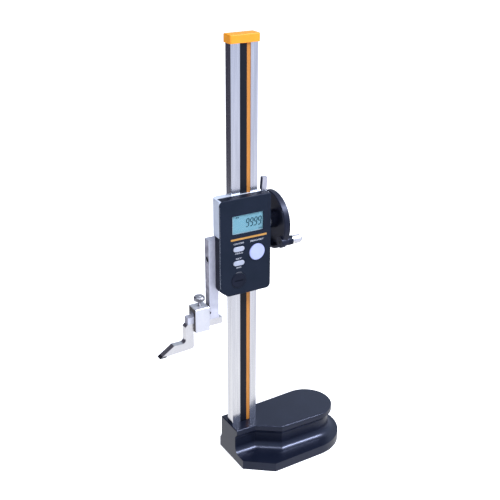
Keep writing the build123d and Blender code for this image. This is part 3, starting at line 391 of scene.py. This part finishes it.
def add_piece(name, mesh, body, material, sharp=SMOOTH_ANGLE, second=None):
    """Puts a mesh in the scene as a piece that rides on a body."""
    mesh.materials.clear()
    mesh.materials.append(MATERIALS[material])
    if second:
        mesh.materials.append(MATERIALS[second])
    mesh.shade_smooth()
    mesh.set_sharp_from_angle(angle=math.radians(sharp))
    piece = bpy.data.objects.new(name, mesh)
    bpy.context.scene.collection.objects.link(piece)
    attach(piece, body)
    return piece


def finished_mesh(shape, name):
    """The mesh of a closed shape, its faces turned outwards."""
    bmesh.ops.recalc_face_normals(shape, faces=shape.faces)
    mesh = bpy.data.meshes.new(name)
    shape.to_mesh(mesh)
    shape.free()
    return mesh


def join_rings(shape, low, high):
    """Four-sided faces between two rings of as many points."""
    for i in range(len(low)):
        j = (i + 1) % len(low)
        shape.faces.new((low[i], low[j], high[j], high[i]))


def printed_shapes(name, outlines, y, material):
    """Flat marks on the slider's front, a hair proud of the face at y. Outlines are of (x, z)."""
    shapes = bmesh.new()
    for outline in outlines:
        front, back = (
            [shapes.verts.new((x * MM, depth * MM, z * MM)) for x, z in outline]
            for depth in (y - PRINT, y + SINK)
        )
        shapes.faces.new(front)
        shapes.faces.new(back[::-1])
        join_rings(shapes, back, front)
    add_piece(name, finished_mesh(shapes, name), "slider", material)


def rounded_bar(x0, x1, z0, z1, radius, steps=5):
    """Outline of a bar whose corners are rounded."""
    corners = [(x1 - radius, z0 + radius, -90), (x1 - radius, z1 - radius, 0),
               (x0 + radius, z1 - radius, 90), (x0 + radius, z0 + radius, 180)]
    outline = []
    for x, z, start in corners:
        for i in range(steps + 1):
            turn = math.radians(start + 90.0 * i / steps)
            outline.append((x + radius * math.cos(turn), z + radius * math.sin(turn)))
    return outline


TEXT_DEPTH = 0.5                      # half the depth that the words are cut from
TEXT_WEIGHT = 0.012
WELD = 1e-7


def printed_text(name, text, box, y, material):
    """Plain words in the built-in face, fitted to a box (x0, x1, z0, z1) on the slider's front."""
    x0, x1, z0, z1 = box
    curve = bpy.data.curves.new(name, "FONT")
    curve.body = text
    curve.extrude = TEXT_DEPTH
    curve.offset = TEXT_WEIGHT
    maker = bpy.data.objects.new(name, curve)
    bpy.context.scene.collection.objects.link(maker)
    bpy.context.view_layer.update()
    solid = maker.evaluated_get(bpy.context.evaluated_depsgraph_get())
    mesh = bpy.data.meshes.new_from_object(solid)
    bpy.data.objects.remove(maker)
    xs = [v.co.x for v in mesh.vertices]
    ys = [v.co.y for v in mesh.vertices]
    left, width = min(xs), max(xs) - min(xs)
    foot, height = min(ys), max(ys) - min(ys)
    for v in mesh.vertices:
        across = (v.co.x - left) / width
        upward = (v.co.y - foot) / height
        depth = v.co.z + TEXT_DEPTH
        v.co = ((x0 + across * (x1 - x0)) * MM,
                (y + SINK - depth * (PRINT + SINK)) * MM,
                (z0 + upward * (z1 - z0)) * MM)
    cleaner = bmesh.new()
    cleaner.from_mesh(mesh)
    bmesh.ops.remove_doubles(cleaner, verts=cleaner.verts, dist=WELD)
    bmesh.ops.recalc_face_normals(cleaner, faces=cleaner.faces)
    cleaner.to_mesh(mesh)
    cleaner.free()
    add_piece(name, mesh, "slider", material)


# The display reads 9999, in slanted seven-segment figures.
NINE = "abcdfg"                       # the lit segments of a 9
DIGIT_COUNT = 4
DIGIT_PLACE = (-4.9, 282.6)           # foot of the first figure
DIGIT_STEP = 4.75
DIGIT_WIDTH = 3.0
DIGIT_HEIGHT = 8.4
DIGIT_SLANT = 0.14
STROKE = 1.3
STROKE_GAP = 0.10
# Bars are (x0, x1, z0, z1, corner radius).
LCD_MARKS = (
    (4.05, 4.75, 282.2, 282.9, 0.2),          # decimal point
    (-16.5, -14.9, 293.5, 294.8, 0.15),       # two small marks, upper left
    (-14.4, -12.8, 293.5, 294.8, 0.15),
)
LCD_BORDER = (
    (-20.9, -20.0, 276.5, 296.5, 0.1),
    (-19.9, 15.0, 276.5, 277.05, 0.1),
)
LCD_UNIT = (10.4, 14.4, 277.5, 279.3)


def nine_outlines(x0, z0):
    """The lit segments of a 9 whose foot is at (x0, z0)."""
    half = DIGIT_HEIGHT / 2.0
    spans = {
        "a": ((0, DIGIT_HEIGHT), (DIGIT_WIDTH, DIGIT_HEIGHT)),
        "b": ((DIGIT_WIDTH, half), (DIGIT_WIDTH, DIGIT_HEIGHT)),
        "c": ((DIGIT_WIDTH, 0), (DIGIT_WIDTH, half)),
        "d": ((0, 0), (DIGIT_WIDTH, 0)),
        "f": ((0, half), (0, DIGIT_HEIGHT)),
        "g": ((0, half), (DIGIT_WIDTH, half)),
    }
    r = STROKE / 2.0
    outlines = []
    for key in NINE:
        (ax, az), (bx, bz) = spans[key]
        length = math.hypot(bx - ax, bz - az)
        ux, uz = (bx - ax) / length, (bz - az) / length
        near, far = STROKE_GAP, length - STROKE_GAP
        points = [(near, 0), (near + r, -r), (far - r, -r), (far, 0), (far - r, r), (near + r, r)]
        outline = []
        for along, across in points:
            x = ax + ux * along - uz * across
            z = az + uz * along + ux * across
            outline.append((x0 + x + DIGIT_SLANT * z, z0 + z))
        outlines.append(outline)
    return outlines


def make_display():
    """The liquid crystal's border and figures: four digits, a point, two small marks and a unit."""
    figures = []
    for i in range(DIGIT_COUNT):
        figures += nine_outlines(DIGIT_PLACE[0] + DIGIT_STEP * i, DIGIT_PLACE[1])
    figures += [rounded_bar(*bar) for bar in LCD_MARKS]
    border = [rounded_bar(*bar) for bar in LCD_BORDER]
    printed_shapes("lcd_border", border, LCD_Y, "lcd_pale")
    printed_shapes("lcd_digits", figures, LCD_Y, "lcd_ink")
    printed_text("lcd_unit", "mm", LCD_UNIT, LCD_Y, "lcd_ink")


PANEL_BAR = (-23.0, 19.3, 269.9, 272.0, 0.2)
OVERLAY_LINE = (21.35, 21.6, 210.5, 312.5, 0.1)
LABELS = (
    ("label_power", "ON/OFF", (-19.8, -7.6, 265.4, 267.1)),
    ("label_zero", "ZERO", (-18.2, -8.9, 254.6, 256.2)),
    ("label_set", "SET", (-17.2, -10.2, 248.7, 250.3)),
    ("label_unit", "mm", (-16.4, -11.0, 238.8, 240.2)),
    ("label_hold", "ZERO/SET", (-0.6, 15.7, 265.3, 267.0)),
)
ARC_CENTRE = (-13.8, 224.7)           # the battery cap's centre
ARC_OUTER, ARC_INNER = 9.6, 9.15
ARC_START, ARC_SWEEP, ARC_STEPS = 68, 44, 12


def arc_outline():
    """A short arc above the battery cap."""
    turns = [math.radians(ARC_START + ARC_SWEEP * i / ARC_STEPS) for i in range(ARC_STEPS + 1)]
    x, z = ARC_CENTRE
    outer = [(x + ARC_OUTER * math.cos(t), z + ARC_OUTER * math.sin(t)) for t in turns]
    inner = [(x + ARC_INNER * math.cos(t), z + ARC_INNER * math.sin(t)) for t in turns[::-1]]
    return outer + inner


def make_panel_print():
    """The front panel's plain print: a bar, key labels, an arc, the edge trim and a line."""
    bar = [rounded_bar(*PANEL_BAR)]
    printed_shapes("panel_bar", bar, PANEL_Y, "print_orange")
    for name, text, box in LABELS:
        printed_text(name, text, box, PANEL_Y, "print_white")
    printed_shapes("cap_arc", [arc_outline()], PANEL_Y, "print_dim")
    make_edge_trim()
    line = [rounded_bar(*OVERLAY_LINE)]
    printed_shapes("overlay_line", line, PANEL_Y, "scale_black")


TRIM_LEFT = -35.8                     # the panel's left edge
TRIM_DEPTH = 0.45
TRIM_WIDTH = 0.45
TRIM_PROUD = 0.03
TRIM_BOTTOM, TRIM_STEP, TRIM_STEPS, TRIM_TOP = 219.0, 5.2, 18, 309.5
TRIM_SMOOTH_ANGLE = 20


def make_edge_trim():
    """The bright bevel down the panel's left edge, between its two corners."""
    section = [(0.02, TRIM_DEPTH + 0.10), (-TRIM_PROUD, TRIM_DEPTH + 0.05),
               (-TRIM_PROUD, TRIM_DEPTH), (TRIM_WIDTH - 0.05, -TRIM_PROUD),
               (TRIM_WIDTH, -TRIM_PROUD), (TRIM_WIDTH, 0.02)]
    heights = [TRIM_BOTTOM + TRIM_STEP * i for i in range(TRIM_STEPS)] + [TRIM_TOP]
    shape = bmesh.new()
    rings = [
        [shape.verts.new(((TRIM_LEFT + x) * MM, (PANEL_Y + y) * MM, z * MM)) for x, y in section]
        for z in heights
    ]
    for low, high in zip(rings, rings[1:]):
        join_rings(shape, low, high)
    shape.faces.new(rings[0][::-1])
    shape.faces.new(rings[-1])
    mesh = finished_mesh(shape, "panel_edge_trim")
    add_piece("panel_edge_trim", mesh, "slider", "satin_silver",
              sharp=TRIM_SMOOTH_ANGLE)


def turned(name, profile, place, axis, segments):
    """A turned mesh. Each row of the profile is (radius, height, relief) in mm.

    relief(turn, height) is taken off the radius. A radius of 0 is a point on the axis.
    """
    turn_to = Vector((0, 0, 1)).rotation_difference(Vector(axis)).to_matrix()
    place = Vector(place)
    shape = bmesh.new()
    rings = []
    for radius, height, relief in profile:
        if radius == 0:
            spots = [Vector((0, 0, height))]
        else:
            spots = []
            for i in range(segments):
                turn = 2 * math.pi * i / segments
                r = radius - (relief(turn, height) if relief else 0.0)
                spots.append(Vector((r * math.cos(turn), r * math.sin(turn), height)))
        rings.append([shape.verts.new((place + turn_to @ spot) * MM) for spot in spots])
    for low, high in zip(rings, rings[1:]):
        if len(low) == len(high):
            join_rings(shape, low, high)
            continue
        for i in range(segments):
            j = (i + 1) % segments
            if len(low) == 1:
                shape.faces.new((low[0], high[j], high[i]))
            else:
                shape.faces.new((low[i], low[j], high[0]))
    return finished_mesh(shape, name)


def wave(phase):
    """A rounded tooth: 0 at the crest, 1 at the root."""
    return 0.5 - 0.5 * math.cos(2 * math.pi * phase)


SCREW_PLACE = (-53.0, -4.05, 190.7)   # lower end of the thumb screw
THREAD_PITCH = 0.7
THREAD_DEPTH = 0.34
KNURL_TEETH = 40
KNURL_DEPTH = 0.42
KNURL_BAND = (205.5, 208.95)          # heights between which faces take the knurl's darker material, a painted shade for its cavities
SEGMENTS_PER_TOOTH = 6


def knurl(turn, height):
    return KNURL_DEPTH * wave(KNURL_TEETH * turn / (2 * math.pi))


def thread(turn, height):
    return THREAD_DEPTH * wave(height / THREAD_PITCH - turn / (2 * math.pi))


def stretch_of(radius, bottom, length, steps, relief):
    """Profile rows for a straight stretch that carries a relief."""
    return [(radius, bottom + length * i / steps, relief) for i in range(steps + 1)]


def make_thumb_screw():
    """The knurled thumb screw of the scriber clamp, with its thread."""
    profile = [(0, 0.0, None), (1.6, 0.0, None)]
    profile += stretch_of(1.99, 0.3, 7.6, 64, thread)
    profile.append((1.6, 8.1, None))
    profile += stretch_of(1.6, 8.2, 5.4, 40, thread)
    profile += [(1.6, 13.9, None), (2.6, 14.3, None), (4.7, 14.3, None), (5.2, 14.5, None),
                (5.9, 15.0, knurl)]
    profile += stretch_of(5.9, 15.2, 2.9, 4, knurl)
    profile += [(5.5, 18.35, None), (4.75, 19.5, None), (4.2, 19.5, None), (4.05, 19.3, None),
                (2.4, 19.3, None), (2.3, 19.42, None), (0, 19.42, None)]
    mesh = turned("thumb_screw_detail", profile, SCREW_PLACE, (0, 0, 1),
                  KNURL_TEETH * SEGMENTS_PER_TOOTH)
    piece = add_piece("thumb_screw_detail", mesh, "thumb_screw", "turned_steel",
                      second="knurl_painted_shade")
    for face in mesh.polygons:
        if KNURL_BAND[0] * MM < face.center.z < KNURL_BAND[1] * MM:
            face.material_index = 1
    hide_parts("thumb_screw")


KNOB_PLACE = (55.65, -12.22, 254.635)     # middle of the crank knob's inner end
KNOB_SEGMENTS = 64
KNOB_ROUND = (3.5, 7.5, 1.2)          # the outer edge's rounding: from the axis, height, radius
KNOB_ROUND_STEPS = 6


def make_crank_knob():
    """The crank's turned knob, rounded at its end where the dark pin shows."""
    profile = [(2.1, 0.0, None), (4.2, 0.0, None), (4.7, 0.5, None), (4.7, 1.6, None),
               (4.5, 1.75, None), (4.5, 2.05, None), (4.7, 2.2, None)]
    centre, level, radius = KNOB_ROUND
    for i in range(KNOB_ROUND_STEPS + 1):
        turn = math.radians(90.0 * i / KNOB_ROUND_STEPS)
        profile.append((centre + radius * math.cos(turn), level + radius * math.sin(turn), None))
    profile += [(3.2, 8.7, None), (3.2, 8.35, None), (2.1, 8.35, None), (2.1, 0.0, None)]
    mesh = turned("crank_knob_detail", profile, KNOB_PLACE, (1, 0, 0), KNOB_SEGMENTS)
    piece = add_piece("crank_knob_detail", mesh, "crank_knob", "knob_satin")
    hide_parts("crank_knob")


HEAD_PLACE = (-41.4, -3.15, 249.0)    # bottom of the arm's counterbore
HEAD_SEGMENTS = 48
SOCKET_HALF = 1.45                    # half the hexagon socket's width across its flats
SOCKET_RELIEF_RADIUS = 3.0


def hexagon(turn, height):
    corner = (turn % (math.pi / 3)) - math.pi / 6
    return SOCKET_RELIEF_RADIUS - SOCKET_HALF / math.cos(corner)


def make_screw_head_and_hole_shade():
    """A black hexagon-socket head that fills the arm's counterbore nearly flush: a dark plug whose
    black is painted shade for the inside of the hole.
    """
    profile = [(0, 0.25, None), (SOCKET_RELIEF_RADIUS, 0.25, hexagon),
               (SOCKET_RELIEF_RADIUS, 1.05, hexagon), (2.75, 1.2, None), (3.02, 0.95, None),
               (3.02, 0.02, None), (0, 0.02, None)]
    mesh = turned("arm_screw_head_and_hole_shade", profile, HEAD_PLACE, (-1, 0, 0), HEAD_SEGMENTS)
    add_piece("arm_screw_head_and_hole_shade", mesh, "slider", "screw_black")


# ---------------------------------------------------------------- stage
FAR_LEFT = (-0.497, 0.868, 0.0)       # level direction that the faces at -X mirror to the camera
FAR_LEFT_FADE = (0.30, 0.70)
DARK_FROM = (-0.415, -0.350)          # the dark starts between these two rises
DARK_COLOUR = (0.055, 0.052, 0.075)
WHITE = (1, 1, 1)
# Tones by rise, from straight down (-1) to straight up (1).
WORLD_STOPS = (
    (-1.0, (1.0, 1.0, 1.0)),
    (-0.50, (0.98, 0.98, 1.0)),
    (-0.36, (0.78, 0.80, 0.92)),
    (-0.20, (0.62, 0.67, 0.86)),
    (0.05, (0.55, 0.60, 0.76)),
    (0.22, (0.74, 0.84, 1.0)),
    (0.50, (0.74, 0.84, 1.0)),
    (1.0, (0.9, 0.9, 0.95)),
)


def make_world():
    """A studio that metal sees as pale lavender, bright below and dark far behind at the left.

    The camera itself sees plain white.
    """
    world = bpy.data.worlds.new("studio")
    bpy.context.scene.world = world
    world.use_nodes = True
    tree = world.node_tree
    background = tree.nodes["Background"]
    place = tree.nodes.new("ShaderNodeTexCoord")
    split = tree.nodes.new("ShaderNodeSeparateXYZ")
    tree.links.new(place.outputs["Generated"], split.inputs["Vector"])
    height = mapped(tree, split.outputs["Z"], source=(-1.0, 1.0))
    tones = ramp(tree, height, [((rise + 1.0) / 2.0, colour) for rise, colour in WORLD_STOPS])
    side = tree.nodes.new("ShaderNodeVectorMath")
    side.operation = "DOT_PRODUCT"
    side.inputs[1].default_value = FAR_LEFT
    tree.links.new(place.outputs["Generated"], side.inputs[0])
    facing = mapped(tree, side.outputs["Value"], FAR_LEFT_FADE, interpolation="SMOOTHSTEP")
    above = mapped(tree, split.outputs["Z"], DARK_FROM, interpolation="SMOOTHSTEP")
    dark = math_node(tree, "MULTIPLY", facing, above)
    studio = mixed(tree, dark, tones, DARK_COLOUR)
    ray = tree.nodes.new("ShaderNodeLightPath")
    backdrop = mixed(tree, ray.outputs["Is Camera Ray"], studio, WHITE)
    tree.links.new(backdrop, background.inputs["Color"])
    background.inputs["Strength"].default_value = 1.0


FLOOR_SIZE = 12.0
FLOOR_GLOW = 0.6


def make_floor():
    """White studio paper. The metal mirrors the studio's own tones instead of the endless floor."""
    paper = surface("floor_paper", (0.90, 0.90, 0.91), (0.93, 0.93, 0.94), (0.7, 0.8),
                    tone_scale=3, specular=0.1)
    shader = paper.node_tree.nodes["Principled BSDF"]
    shader.inputs["Emission Color"].default_value = (*WHITE, 1)
    shader.inputs["Emission Strength"].default_value = FLOOR_GLOW
    bpy.ops.mesh.primitive_plane_add(size=FLOOR_SIZE, location=(0, 0, 0))
    floor = bpy.context.object
    floor.name = "floor"
    floor.data.materials.append(paper)
    floor.visible_glossy = False


# name, place, target, size, power, colour
LIGHTS = (
    ("left_light", (-0.42, -0.40, 1.38), (0.03, -0.02, 0.05), (0.24, 0.12), 5, (0.88, 0.90, 1.0)),
    ("key_light", (0.72, -0.66, 1.22), (0.03, -0.02, 0.05), (0.32, 0.15), 21, (0.88, 0.90, 1.0)),
    ("overhead_light", (0.30, -0.45, 1.60), (0.03, -0.02, 0.1), (1.3, 0.6), 7, (0.90, 0.92, 1.0)),
)


def soft_light(name, place, target, size, power, colour):
    """A rectangular light that looks at its target."""
    data = bpy.data.lights.new(name, "AREA")
    data.shape = "RECTANGLE"
    data.size, data.size_y = size
    data.energy = power
    data.color = colour
    light = bpy.data.objects.new(name, data)
    light.location = place
    light.rotation_euler = (Vector(target) - Vector(place)).to_track_quat("-Z", "Y").to_euler()
    bpy.context.scene.collection.objects.link(light)


bpy.context.scene.view_settings.view_transform = "Standard"
make_camera()
dress_cad_nodes()
make_display()
make_panel_print()
make_thumb_screw()
make_crank_knob()
make_screw_head_and_hole_shade()
make_world()
make_floor()
for light in LIGHTS:
    soft_light(*light)
